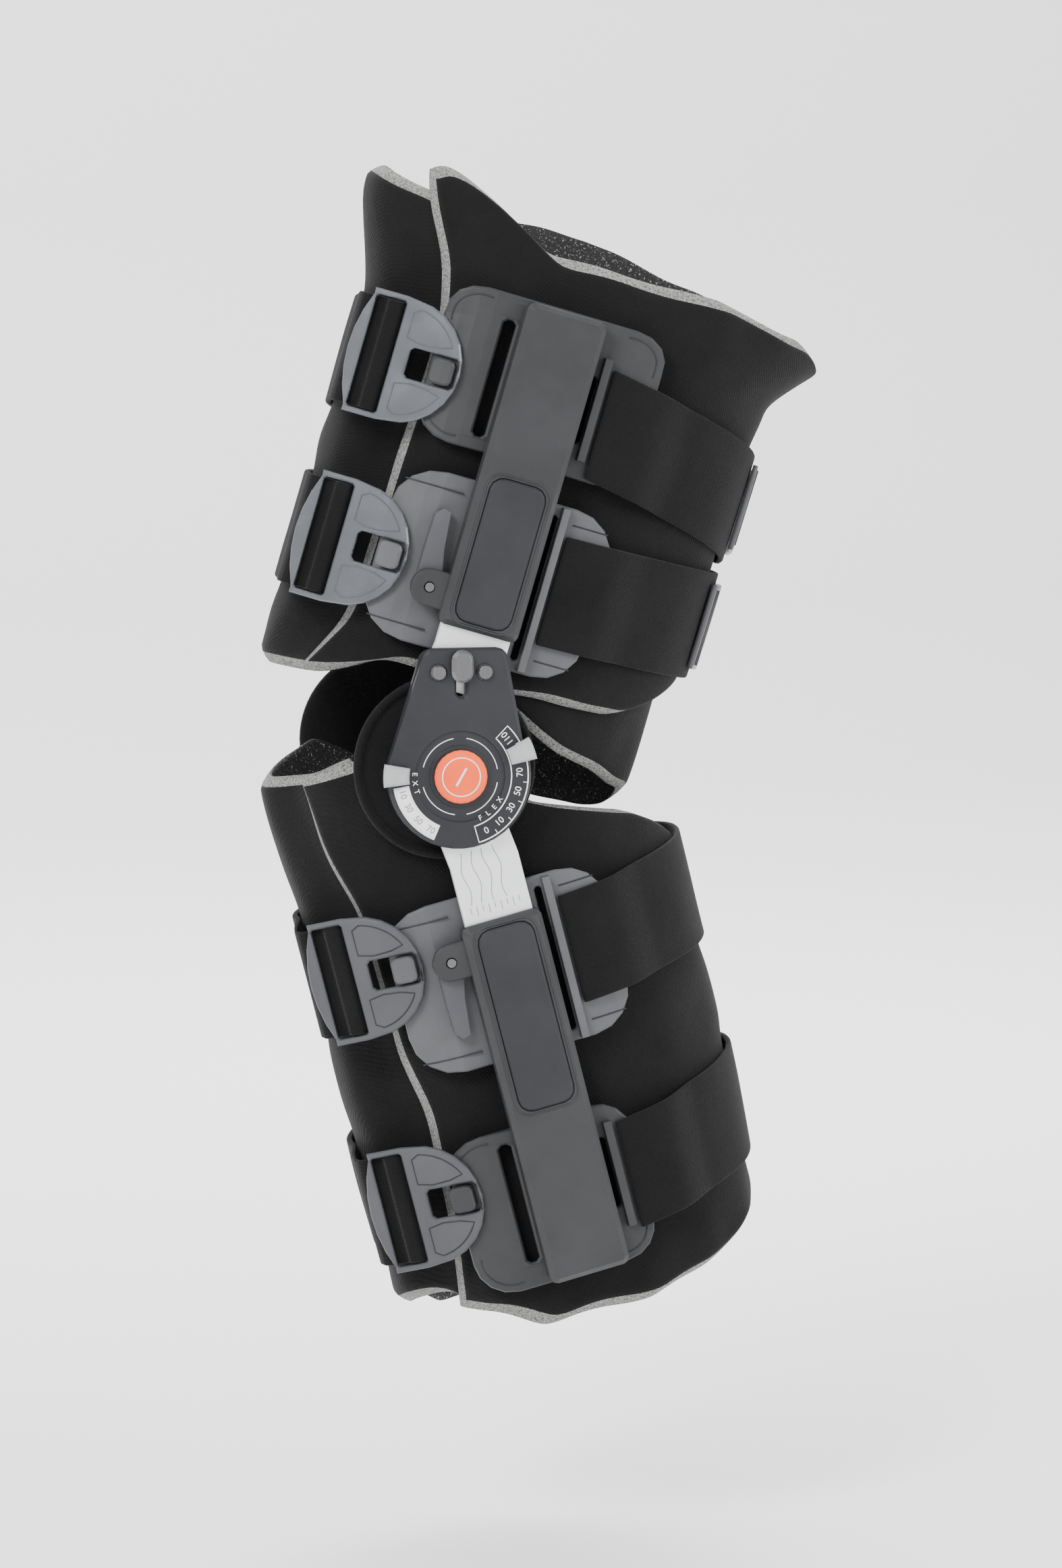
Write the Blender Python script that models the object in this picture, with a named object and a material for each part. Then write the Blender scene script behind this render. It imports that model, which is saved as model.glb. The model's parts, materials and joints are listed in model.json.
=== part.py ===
"""Hinged range-of-motion knee brace, built as separate pieces.

Lengths in the constants are millimetres and MM turns them to metres. The world origin is the middle of
the knee, on the hinge axis. +Z is up, -X is the front of the leg and -Y is its outer side.
Each limb piece is drawn flat, as (across, along, height) over the foam, and then wrapped on the leg.
"""

import math

import bmesh
import bpy
import numpy as np
from mathutils import Vector

MM = 0.001

# Half sections of the leg: flat beside the upright, then a quarter ellipse to the front and the back.
SIDE = 62.0
FLAT_FRONT = 18.0
FRONT_DEPTH = 54.0
LIMBS = {
    "thigh": {
        "start": (7.9, 60.6),
        "lean": math.radians(16.5),
        "up": 1,
        "flat_back": 28.0,
        "back_depth": 80.0,
        "flare_at": (-60, 0, 128, 148, 170),
        "front_flare": (1.0, 1.0, 1.0, 1.1, 1.22),
        "back_flare": (0.98, 1.0, 1.03, 1.25, 1.32),
    },
    "calf": {
        "start": (17.9, -61.2),
        "lean": math.radians(14.5),
        "up": -1,
        "flat_back": 24.0,
        "back_depth": 72.0,
        "flare_at": (-80, 0, 110, 170),
        "front_flare": (1.0, 1.0, 1.04, 1.0),
        "back_flare": (1.0, 1.0, 0.98, 0.92),
    },
}

# Layers, as heights over the outer face of the foam.
FOAM = (-6.9, -0.7)
FLAP = (-12.6, -7.9)
STRAP = (0.4, 2.9)
STRAP_OVER = (7.2, 9.7)
PLATE = (3.9, 6.4)
WING = (3.9, 6.9)
SPINE = (6.7, 17.0)
BAR = (9.5, 12.5)
CHANNEL = (9.1, 12.9)
PANEL_FLOOR = 14.2
PANEL = (15.4, 18.0)
LEVER = (7.0, 10.3)
EAR = (10.6, 13.8)
PAD = (0.4, 6.1)
BACK_PLATE = (6.4, 9.2)
COVER = (12.8, 18.0)
ON_COVER = 18.3
BUCKLE = (7.4, 10.4)
STUD_TOP = 12.6

# Uprights.
SPINE_HALF = 17.8
CHANNEL_HALF = 15.9
BAR_HALF = {"thigh": 15.5, "calf": 15.0}
SPINE_LENGTH = {"thigh": 142.0, "calf": 161.0}
WING_START = {"thigh": 74.0, "calf": 91.0}
WING_SPAN = {"thigh": (-46.5, 47.0), "calf": (-44.0, 34.0)}
PLATE_SPAN = (-46.5, 48.0)
PLATE_LENGTH = (-12.0, 62.0)
PANEL_HALF = 12.4
PANEL_LENGTH = {"thigh": 66.0, "calf": 84.0}
PIN = (-25.0, 13.2)
PIN_RADIUS = 2.0

# Hinges, as (x, z) from the hinge axis.
DIAL_RADIUS = 31.0
DISC_RADIUS = 27.0
PIVOT_RADIUS = 5.0
CAP_RADIUS = 11.4
PAD_RADIUS = 39.5
PAD_CENTRE = (-4.0, 3.0)
ARM_TOP = 54.6
RIVETS = ((-9.3, 44.3), (10.7, 44.3))
LOCK_CENTRE = (0.6, 47.0)
STOPS = {"ext_stop": 178.0, "flex_stop": 21.0}

# Straps: where each sits along its limb at the rear bar, the back, the inner side and the buckle.
STRAP_HALF = 24.0
STRAPS = {
    "thigh_strap_upper": ("thigh", (104.0, 80.0, 92.0, 102.0)),
    "thigh_strap_lower": ("thigh", (25.0, 29.0, 27.0, 21.5)),
    "calf_strap_upper": ("calf", (24.0, 18.5, 18.0, 12.0)),
    "calf_strap_lower": ("calf", (127.0, 115.0, 115.0, 115.0)),
}
STRAP_RING = ((-1, 1), (-0.33, 1), (0.33, 1), (1, 1), (1, 0), (0.33, 0), (-0.33, 0), (-1, 0))
END_TAB = {"length": 24.0, "half": 19.0, "thick": 2.0}
WING_STRAP = {"thigh": "thigh_strap_upper", "calf": "calf_strap_lower"}
PLATE_STRAP = {"thigh": "thigh_strap_lower", "calf": "calf_strap_upper"}
STUD_ACROSS = -40.0
STUD_HALF = (4.3, 5.6)
BUCKLE_LENGTH = 43.0
BUCKLE_HALF = 27.0
SLOT = (23.0, 37.0)
BENDS = (-40.0, -34.0, -28.0, 34.0, 41.0)

DARK_PLASTIC = ("dark_plastic", (0.075, 0.078, 0.084), 0.42, 0.0)
HOUSING_PLASTIC = ("housing_plastic", (0.105, 0.108, 0.114), 0.4, 0.0)
PLATE_PLASTIC = ("plate_plastic", (0.17, 0.175, 0.185), 0.38, 0.0)
CLEAR_PLASTIC = ("clear_plastic", (0.3, 0.33, 0.36), 0.3, 0.0)
GREY_PLASTIC = ("grey_plastic", (0.15, 0.155, 0.165), 0.35, 0.0)
STOP_PLASTIC = ("stop_plastic", (0.45, 0.46, 0.47), 0.3, 0.0)
CAP_PLASTIC = ("cap_plastic", (1.0, 0.22, 0.08), 0.35, 0.0)
BAR_METAL = ("bar_metal", (0.82, 0.83, 0.84), 0.35, 0.6)
RIVET_METAL = ("rivet_metal", (0.2, 0.2, 0.21), 0.3, 0.9)
FOAM_LAMINATE = ("foam_laminate", (0.012, 0.012, 0.013), 0.95, 0.0)
STRAP_FABRIC = ("strap_fabric", (0.014, 0.014, 0.015), 0.95, 0.0)
PAD_FABRIC = ("pad_fabric", (0.01, 0.01, 0.011), 0.9, 0.0)


def clear_scene():
    for obj in list(bpy.data.objects):
        bpy.data.objects.remove(obj, do_unlink=True)


def material(spec):
    name, colour, roughness, metallic = spec
    found = bpy.data.materials.get(name)
    if found:
        return found
    made = bpy.data.materials.new(name)
    made.use_nodes = True
    shader = made.node_tree.nodes["Principled BSDF"]
    shader.inputs["Base Color"].default_value = (*colour, 1.0)
    shader.inputs["Roughness"].default_value = roughness
    shader.inputs["Metallic"].default_value = metallic
    return made


# Outlines


def arc(centre, radius, start, end, steps):
    """Points on an arc, from one angle in degrees to another."""
    return [
        (centre[0] + radius * math.cos(angle), centre[1] + radius * math.sin(angle))
        for angle in np.linspace(math.radians(start), math.radians(end), steps + 1)
    ]


def circle(centre, radius, steps):
    return arc(centre, radius, 0, 360, steps)[:-1]


def rounded(left, low, right, high, radius, steps=3):
    corners = (
        ((right - radius, high - radius), 0),
        ((left + radius, high - radius), 90),
        ((left + radius, low + radius), 180),
        ((right - radius, low + radius), 270),
    )
    return [p for centre, turn in corners for p in arc(centre, radius, turn, turn + 90, steps)]


# Solids, in flat coordinates


def slab(outlines, layer, bevel=0.0, bevel_steps=1):
    """A plate with the first outline as its edge and the others as holes."""
    low, high = layer
    curve = bpy.data.curves.new("outline", "CURVE")
    curve.dimensions = "2D"
    curve.fill_mode = "BOTH"
    curve.extrude = ((high - low) / 2 - bevel) * MM
    curve.bevel_depth = bevel * MM
    curve.bevel_resolution = bevel_steps - 1
    curve.offset = -bevel * MM
    for outline in outlines:
        spline = curve.splines.new("POLY")
        spline.points.add(len(outline) - 1)
        for point, (x, y) in zip(spline.points, outline):
            point.co = (x * MM, y * MM, 0, 1)
        spline.use_cyclic_u = True
    obj = bpy.data.objects.new("outline", curve)
    bpy.context.collection.objects.link(obj)
    graph = bpy.context.evaluated_depsgraph_get()
    mesh = bpy.data.meshes.new_from_object(obj.evaluated_get(graph))
    shape = bmesh.new()
    shape.from_mesh(mesh)
    bmesh.ops.remove_doubles(shape, verts=shape.verts, dist=1e-6)
    bmesh.ops.translate(shape, verts=shape.verts, vec=(0, 0, (low + high) / 2 * MM))
    bpy.data.objects.remove(obj)
    bpy.data.meshes.remove(mesh)
    return shape


def post(centre, radius, layer, segments=20, top_radius=None):
    """A round post standing on the plate."""
    low, high = layer
    shape = bmesh.new()
    bmesh.ops.create_cone(
        shape,
        cap_ends=True,
        segments=segments,
        radius1=radius * MM,
        radius2=(top_radius or radius) * MM,
        depth=(high - low) * MM,
    )
    place = (centre[0] * MM, centre[1] * MM, (low + high) / 2 * MM)
    bmesh.ops.translate(shape, verts=shape.verts, vec=place)
    return shape


def block(left, low, right, high, layer):
    shape = bmesh.new()
    bmesh.ops.create_cube(shape, size=1.0)
    size = (right - left, high - low, layer[1] - layer[0])
    middle = ((left + right) / 2, (low + high) / 2, sum(layer) / 2)
    bmesh.ops.scale(shape, verts=shape.verts, vec=[v * MM for v in size])
    bmesh.ops.translate(shape, verts=shape.verts, vec=[v * MM for v in middle])
    return shape


def as_object(shape):
    bmesh.ops.recalc_face_normals(shape, faces=shape.faces)
    mesh = bpy.data.meshes.new("shape")
    shape.to_mesh(mesh)
    shape.free()
    obj = bpy.data.objects.new("shape", mesh)
    bpy.context.collection.objects.link(obj)
    return obj


def combine(base, others, operation):
    """The base joined with, or cut by, the other shapes."""
    target = as_object(base)
    tools = [as_object(other) for other in others]
    for tool in tools:
        modifier = target.modifiers.new("combine", "BOOLEAN")
        modifier.operation = operation
        modifier.solver = "EXACT"
        modifier.object = tool
    graph = bpy.context.evaluated_depsgraph_get()
    mesh = bpy.data.meshes.new_from_object(target.evaluated_get(graph))
    result = bmesh.new()
    result.from_mesh(mesh)
    bmesh.ops.remove_doubles(result, verts=result.verts, dist=1e-6)
    bmesh.ops.dissolve_degenerate(result, edges=result.edges, dist=1e-6)
    for obj in (target, *tools):
        bpy.data.objects.remove(obj)
    return result


def sliced(shape, across, along=()):
    """Adds cuts, so that a flat shape can bend."""
    cuts = [(x, Vector((1, 0, 0))) for x in across] + [(y, Vector((0, 1, 0))) for y in along]
    for place, normal in cuts:
        everything = shape.verts[:] + shape.edges[:] + shape.faces[:]
        bmesh.ops.bisect_plane(
            shape, geom=everything, plane_co=normal * place * MM, plane_no=normal, dist=1e-7
        )
    return shape


# Places on the leg


def half_section(limb):
    """Arc length, across, side distance and outward direction, from the front to the back."""
    turn = np.linspace(0, math.pi / 2, 41)
    data = LIMBS[limb]
    front = [(-FLAT_FRONT, -FRONT_DEPTH, angle) for angle in turn[::-1]]
    back = [(data["flat_back"], data["back_depth"], angle) for angle in turn]
    rows = []
    for flat, depth, angle in front + back:
        outward = np.array([math.sin(angle) / depth, math.cos(angle) / SIDE])
        outward /= np.linalg.norm(outward)
        rows.append((flat + depth * math.sin(angle), SIDE * math.cos(angle), *outward))
    rows = np.array(rows)
    steps = np.linalg.norm(np.diff(rows[:, :2], axis=0), axis=1)
    length = np.concatenate([[0], np.cumsum(steps)])
    length -= np.interp(0, rows[:, 0], length)
    return length, rows


SECTIONS = {limb: half_section(limb) for limb in LIMBS}


def lengths(limb):
    """Arc length from the upright to the very front and to the very back."""
    length = SECTIONS[limb][0]
    return -length[0], length[-1]


def section_point(limb, around):
    """(across, y, outward across, outward y) at an arc length that starts at the outer upright."""
    front, back = lengths(limb)
    around %= 2 * (front + back)
    inner = back < around < 2 * back + front
    if inner:
        around = 2 * back - around
    elif around > back:
        around -= 2 * (front + back)
    length, rows = SECTIONS[limb]
    across, side, out_across, out_side = (np.interp(around, length, rows[:, i]) for i in range(4))
    sign = 1 if inner else -1
    return across, sign * side, out_across, sign * out_side


def limb_world(limb, across, y, along):
    """World place, in metres, of a point given in a limb's own directions."""
    data = LIMBS[limb]
    lean, up = data["lean"], data["up"]
    x = data["start"][0] + along * math.sin(lean) + across * math.cos(lean)
    z = data["start"][1] + up * (along * math.cos(lean) - across * math.sin(lean))
    return Vector((x, y, z)) * MM


def on_leg(limb, around, along, height):
    across, y, out_across, out_y = section_point(limb, around)
    data = LIMBS[limb]
    if across < -FLAT_FRONT:
        flare = np.interp(along, data["flare_at"], data["front_flare"])
        across = -FLAT_FRONT + flare * (across + FLAT_FRONT)
    elif across > data["flat_back"]:
        flare = np.interp(along, data["flare_at"], data["back_flare"])
        across = data["flat_back"] + flare * (across - data["flat_back"])
    return limb_world(limb, across + out_across * height, y + out_y * height, along)


def leg_map(limb, side):
    """Wraps a flat shape round a limb. The inner side is the outer side mirrored."""

    def place(point):
        x, y, z = (v / MM for v in point)
        spot = on_leg(limb, x, y, z)
        spot.y *= -side
        return spot

    return place


def upright_map(limb, side):
    """Keeps a flat shape in the plane of the upright."""

    def place(point):
        across, along, height = (v / MM for v in point)
        return limb_world(limb, across, side * (SIDE + height), along)

    return place


def housing_map(limb, side):
    """Wraps only the wings round the limb, so the ear stays flat."""
    flat, wrapped = upright_map(limb, side), leg_map(limb, side)
    return lambda point: (wrapped if point.y > WING_START[limb] * MM / 2 else flat)(point)


def hinge_map(side):
    """Stands a flat shape at the hinge, with its second direction up."""

    def place(point):
        return Vector((point.x, side * (SIDE * MM + point.z), point.y))

    return place


def buckle_frame(name):
    """Point under the stud, direction to the front and outward direction, across and in y."""
    limb = STRAPS[name][0]
    across, y, out_across, out_y = section_point(limb, STUD_ACROSS)
    base = Vector((across + out_across * BUCKLE[0], y + out_y * BUCKLE[0]))
    outward = Vector((out_across, out_y))
    forward = Vector((out_y, -out_across))
    return base, forward, outward


def buckle_map(name):
    limb, levels = STRAPS[name]
    base, forward, outward = buckle_frame(name)

    def place(point):
        spot = base + forward * (point.x / MM) + outward * (point.z / MM)
        return limb_world(limb, spot.x, spot.y, levels[-1] + point.y / MM)

    return place


def finish(name, shape, place, spec, pivot=None):
    """Maps the shape into the world and makes its object, with the origin on its pivot."""
    bmesh.ops.triangulate(shape, faces=shape.faces)
    for vert in shape.verts:
        vert.co = place(vert.co)
    pivot = pivot or Vector((0, 0, 0))
    bmesh.ops.translate(shape, verts=shape.verts, vec=-pivot)
    bmesh.ops.recalc_face_normals(shape, faces=shape.faces)
    if shape.calc_volume(signed=True) < 0:
        bmesh.ops.reverse_faces(shape, faces=shape.faces)
    mesh = bpy.data.meshes.new(name)
    shape.to_mesh(mesh)
    shape.free()
    mesh.materials.append(material(spec))
    obj = bpy.data.objects.new(name, mesh)
    obj.location = pivot
    bpy.context.collection.objects.link(obj)
    return obj


def same_place(point):
    return point


# Foam and straps


def band(rings, closed):
    """A loft through rings of points, closed on itself or capped at both ends."""
    shape = bmesh.new()
    rows = [[shape.verts.new(point) for point in ring] for ring in rings]
    pairs = list(zip(rows, rows[1:])) + ([(rows[-1], rows[0])] if closed else [])
    for one, two in pairs:
        for i in range(len(one)):
            j = (i + 1) % len(one)
            shape.faces.new((one[i], one[j], two[j], two[i]))
    if not closed:
        shape.faces.new(rows[0])
        shape.faces.new(rows[-1][::-1])
    return shape


def sleeve(name, limb, layer, low_edge, high_edge, levels, spec):
    """A closed sleeve. Its edges are (across, along) points that follow the leg from front to back."""
    front, back = lengths(limb)
    rings = []
    for around in np.linspace(0, 2 * (front + back), 37)[:-1]:
        across = section_point(limb, around)[0]
        low, high = (np.interp(across, *zip(*edge)) for edge in (low_edge, high_edge))
        steps = np.linspace(low, high, levels)
        outer = [on_leg(limb, around, along, layer[1]) for along in steps]
        inner = [on_leg(limb, around, along, layer[0]) for along in steps[::-1]]
        rings.append(outer + inner)
    return finish(name, band(rings, True), same_place, spec)


def make_foam():
    thigh_low = ((-72, -40), (-46, -23), (0, -25), (60, -24), (108, 4))
    thigh_high = ((-72, 172), (-30, 164), (40, 166), (80, 158), (108, 146))
    sleeve("thigh_wrap", "thigh", FOAM, thigh_low, thigh_high, 6, FOAM_LAMINATE)
    calf_top = ((-72, -75), (-43, -80), (-10, -60), (24, -43), (60, -30), (96, -6))
    calf_bottom = ((-72, 160), (-40, 176), (10, 178), (60, 170), (96, 154))
    sleeve("calf_wrap", "calf", FOAM, calf_top, calf_bottom, 6, FOAM_LAMINATE)
    flap_low = ((-72, -18), (0, -20), (30, -31), (60, -42), (108, -52))
    flap_high = ((-72, 30), (108, 40))
    sleeve("thigh_knee_flap", "thigh", FLAP, flap_low, flap_high, 3, FOAM_LAMINATE)


def strap_level(limb, levels, around):
    front, back = lengths(limb)
    marks = (0, back, 2 * back, 2 * back + front)
    return np.interp(around, marks, levels)


def make_strap(name):
    """A strap from its rear bar, round the back and the inner side, to the slot of its buckle."""
    limb, levels = STRAPS[name]
    front, back = lengths(limb)
    whole = 2 * (front + back)
    stations = list(np.linspace(27, 50, 4)) + list(np.linspace(66, back, 8))
    stations += list(np.linspace(back, whole - front + 4, 26))[1:]
    rings = []
    for around in stations:
        over = np.interp(around, (50, 66), (STRAP_OVER[0], STRAP[0]))
        layer = (over, over + STRAP[1] - STRAP[0])
        middle = strap_level(limb, levels, around)
        rings.append([on_leg(limb, around, middle + s * STRAP_HALF, layer[i]) for s, i in STRAP_RING])
    base, forward, outward = buckle_frame(name)
    under = -3.2
    lip = BUCKLE[1] - BUCKLE[0] + 0.4
    steps = ((47, -4.2, -1.7), (40, under, -0.7), (31.2, under, -0.7), (31, under, lip), (24, under, lip))
    for reach, low, high in steps:
        ring = []
        for side, i in STRAP_RING:
            spot = base + forward * reach + outward * (low, high)[i]
            ring.append(limb_world(limb, spot.x, spot.y, levels[-1] + side * STRAP_HALF))
        rings.append(ring)
    return finish(name, band(rings, False), same_place, STRAP_FABRIC)


def make_end_tab(name, strap, start):
    """The stiff end of a strap, lying on the strap at the back of the thigh."""
    limb, levels = STRAPS[strap]
    rings = []
    half, low, high = END_TAB["half"], STRAP[1] + 1.0, STRAP[1] + 1.0 + END_TAB["thick"]
    for around in np.linspace(start, start + END_TAB["length"], 5):
        middle = strap_level(limb, levels, around)
        corners = ((-half, high), (half, high), (half, low), (-half, low))
        rings.append([on_leg(limb, around, middle + side, height) for side, height in corners])
    return finish(name, band(rings, False), same_place, PLATE_PLASTIC)


def make_buckle(name, strap, spec):
    """A D-shaped buckle with a strap slot and a notch that hooks on the stud."""
    nose = arc((18.5, 0), BUCKLE_HALF - 0.6, 270, 90, 12)
    heel = [(SLOT[0], BUCKLE_HALF), (SLOT[1] + 1, BUCKLE_HALF)]
    bar = arc((BUCKLE_LENGTH - 60, 0), 60.0, 24, -24, 6)
    toe = [(SLOT[1] + 1, -BUCKLE_HALF), (SLOT[0], -BUCKLE_HALF)]
    edge = nose + heel + bar + toe
    slot = rounded(SLOT[0], -24.6, SLOT[1], 24.6, 1.0, 1)
    notch = rounded(-6.4, -6.6, 16, 6.6, 1.5, 1)
    thickness = (0, BUCKLE[1] - BUCKLE[0])
    shape = slab([edge, slot, notch], thickness, 0.7)
    place = buckle_map(strap)
    return finish(name, shape, place, spec, place(Vector((0, 0, 0))))


# Uprights


def make_housing(limb, side, prefix):
    """A T-shaped housing: a hollow spine for the bar, wings round the leg and an ear for the lever."""
    start, end = WING_START[limb], SPINE_LENGTH[limb]
    left, right = WING_SPAN[limb]
    left_slot = rounded(-23.5, start + 6, -18.6, end - 11, 1.5, 1)
    right_slot = rounded(18.4, start + 15, 21.6, end - 24, 1.0, 1)
    wings = slab([rounded(left, start, right, end, 15, 4), left_slot, right_slot], WING, 0.8)
    spine = slab([rounded(-SPINE_HALF, 0, SPINE_HALF, end - 1, 3, 2)], SPINE, 2.4)
    ear_edge = arc(PIN, 8.0, 90, 270, 8) + [(-14, PIN[1] - 8), (-14, PIN[1] + 8)]
    ear = slab([ear_edge], EAR, 0.6)
    bracket = block(21.8, start + 8, 25.2, end - 15, (WING[1] - 0.4, 11.0))
    joined = [wings, ear, bracket]
    if side < 0:
        joined.append(stud(WING_STRAP[limb], WING))
    channel = block(-CHANNEL_HALF, -5, CHANNEL_HALF, end - 10, CHANNEL)
    recess_end = PANEL_LENGTH[limb] + 0.3
    recess_half = PANEL_HALF + 0.3
    recess = slab([rounded(-recess_half, 3, recess_half, recess_end, 6, 3)], (PANEL_FLOOR, 20))
    hole = post(PIN, PIN_RADIUS + 0.4, (EAR[0] - 1, EAR[1] + 1), 10)
    shape = combine(combine(spine, joined, "UNION"), [channel, recess, hole], "DIFFERENCE")
    name = f"{prefix}_{limb}_housing"
    return finish(name, sliced(shape, BENDS), housing_map(limb, side), HOUSING_PLASTIC)


def stud(strap, layer):
    """The rounded block that a strap's buckle hooks on."""
    level = STRAPS[strap][1][-1]
    across, along = STUD_HALF
    edge = rounded(
        STUD_ACROSS - across, level - along, STUD_ACROSS + across, level + along, 2.2, 2
    )
    return slab([edge], (layer[1] - 0.6, STUD_TOP), 0.8)


def make_strap_plate(limb, side, prefix):
    """The rounded plate under a housing, with a raised bar at the back for the strap."""
    left, right = PLATE_SPAN
    low, high = PLATE_LENGTH
    slot = rounded(18.8, low + 5, 22.0, high - 5, 1.0, 1)
    shape = slab([rounded(left, low, right, high, 19, 4), slot], PLATE, 0.6)
    joined = [block(22.4, low + 1, 25.6, high - 1, (PLATE[1] - 0.4, 10.8))]
    if side < 0:
        joined.append(stud(PLATE_STRAP[limb], PLATE))
    shape = combine(shape, joined, "UNION")
    name = f"{prefix}_{limb}_strap_plate"
    return finish(name, sliced(shape, BENDS), leg_map(limb, side), PLATE_PLASTIC)


def make_release(limb, side, prefix):
    """The press panel, the side lever and the pin that the lever turns on."""
    place = upright_map(limb, side)
    end = PANEL_LENGTH[limb]
    edge = rounded(-PANEL_HALF, 3.3, PANEL_HALF, end, 5.8, 3)
    panel = slab([edge], PANEL, 0.8)
    finish(f"{prefix}_{limb}_release_panel", panel, place, DARK_PLASTIC)
    blade = [(-22.5, 30), (-24.0, 46), (-27.5, 47), (-30.5, 44), (-31.0, 30)]
    edge = arc(PIN, 6.0, 180, 360, 8) + blade
    lever = slab([edge, circle(PIN, PIN_RADIUS + 0.4, 10)], LEVER)
    pivot = place(Vector((PIN[0] * MM, PIN[1] * MM, LEVER[0] * MM)))
    finish(f"{prefix}_{limb}_lever", lever, place, GREY_PLASTIC, pivot)
    pin = post(PIN, PIN_RADIUS, (LEVER[0] - 0.1, EAR[1] + 0.5), 10)
    finish(f"{prefix}_{limb}_lever_pin", pin, place, RIVET_METAL)


def to_limb(limb, point):
    """A point of the hinge plane, in a limb's across and along directions."""
    data = LIMBS[limb]
    lean, up = data["lean"], data["up"]
    x, z = point[0] - data["start"][0], (point[1] - data["start"][1]) * up
    return x * math.cos(lean) - z * math.sin(lean), x * math.sin(lean) + z * math.cos(lean)


def make_bars(side, prefix):
    half = BAR_HALF["thigh"]
    edge = [(-half, 118), (-half, -8), (-17.5, -26), (12.5, -27), (half, -8), (half, 118)]
    holes = [circle(to_limb("thigh", rivet), 2.5, 12) for rivet in RIVETS]
    upper = slab([edge] + holes, BAR)
    finish(f"{prefix}_upper_bar", upper, upright_map("thigh", side), BAR_METAL)
    half = BAR_HALF["calf"]
    centre = to_limb("calf", (0, 0))
    turn = math.degrees(math.acos(half / DISC_RADIUS))
    disc = arc(centre, DISC_RADIUS, 180 - turn, 360 + turn, 20)
    edge = disc + [(half, -25), (half, 134), (-half, 134), (-half, -25)]
    lower = slab([edge, circle(centre, PIVOT_RADIUS + 0.4, 14)], BAR)
    finish(f"{prefix}_lower_bar", lower, upright_map("calf", side), BAR_METAL)


def cover_edge(radius, top):
    """Outline of a hinge plate: the dial's circle with an arm going up."""
    shift = 1.4
    return (
        arc((0, 0), radius, 158, 388, 26)
        + arc((shift + 14.5, top - 5), 5.0, 0, 90, 3)
        + arc((shift - 12.5, top - 5), 5.0, 90, 180, 3)
    )


def make_hinge(side, prefix):
    place = hinge_map(side)
    rivet_holes = [circle(rivet, 2.5, 8) for rivet in RIVETS]
    pivot_hole = circle((0, 0), PIVOT_RADIUS + 0.4, 14)
    lock_slot = rounded(LOCK_CENTRE[0] - 2, 34, LOCK_CENTRE[0] + 2, 52, 1, 1)
    cover = slab([cover_edge(DIAL_RADIUS, ARM_TOP), pivot_hole, lock_slot] + rivet_holes, COVER, 1.2)
    groove = slab([circle((0, 0), 19.5, 26), circle((0, 0), 13.2, 20)], (COVER[1] - 0.7, COVER[1] + 2))
    cover = combine(cover, [groove], "DIFFERENCE")
    finish(f"{prefix}_hinge_cover", cover, place, DARK_PLASTIC)
    back = slab([cover_edge(DIAL_RADIUS - 1, ARM_TOP - 1), pivot_hole] + rivet_holes, BACK_PLATE)
    finish(f"{prefix}_hinge_back_plate", back, place, DARK_PLASTIC)
    pivot = post((0, 0), PIVOT_RADIUS - 0.1, (BACK_PLATE[0] + 0.2, COVER[1] - 0.1), 14)
    finish(f"{prefix}_pivot_rivet", pivot, place, RIVET_METAL)
    cap = slab([circle((0, 0), CAP_RADIUS, 24)], (ON_COVER, ON_COVER + 2.2), 0.7)
    finish(f"{prefix}_centre_cap", cap, place, CAP_PLASTIC)
    pad = slab([circle(PAD_CENTRE, PAD_RADIUS, 28)], PAD, 2.0)
    finish(f"{prefix}_condyle_pad", pad, place, PAD_FABRIC)
    make_rivets(prefix, place)
    make_lock(prefix, place)
    for name, angle in STOPS.items():
        make_stop(f"{prefix}_{name}", angle, place)


def make_rivets(prefix, place):
    """Two rivets through the arm, joined behind it by their backing strip."""
    strip = block(RIVETS[0][0] - 3, 43.2, RIVETS[1][0] + 3, 46.2, (3.6, 6.1))
    shafts = [post(rivet, 2.2, (5, ON_COVER + 0.4), 8) for rivet in RIVETS]
    heads = [post(rivet, 3.8, (ON_COVER, ON_COVER + 1.6), 12, 2.8) for rivet in RIVETS]
    shape = combine(strip, shafts + heads, "UNION")
    finish(f"{prefix}_arm_rivets", shape, place, RIVET_METAL)


def make_lock(prefix, place):
    """The drop lock: an oval knob over the arm with a peg in the arm's slot."""
    x, z = LOCK_CENTRE
    knob = slab([rounded(x - 4.8, z - 7, x + 4.8, z + 7, 4.6, 4)], (ON_COVER, ON_COVER + 3.4), 1.2)
    peg = block(x - 1.6, z - 3, x + 1.6, z + 4, (COVER[0] + 0.4, ON_COVER + 1))
    pivot = place(Vector((x * MM, z * MM, ON_COVER * MM)))
    finish(f"{prefix}_drop_lock", combine(knob, [peg], "UNION"), place, RIVET_METAL, pivot)


def make_stop(name, angle, place):
    """A range stop: a thumb block on the rim of the dial."""
    half = 8.5
    edge = arc((0, 0), 33.5, angle - half, angle + half, 4)
    edge += arc((0, 0), 22.5, angle + half, angle - half, 4)
    shape = slab([edge], (ON_COVER, ON_COVER + 3.6), 1.0)
    finish(name, shape, place, STOP_PLASTIC, place(Vector((0, 0, ON_COVER * MM))))


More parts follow.
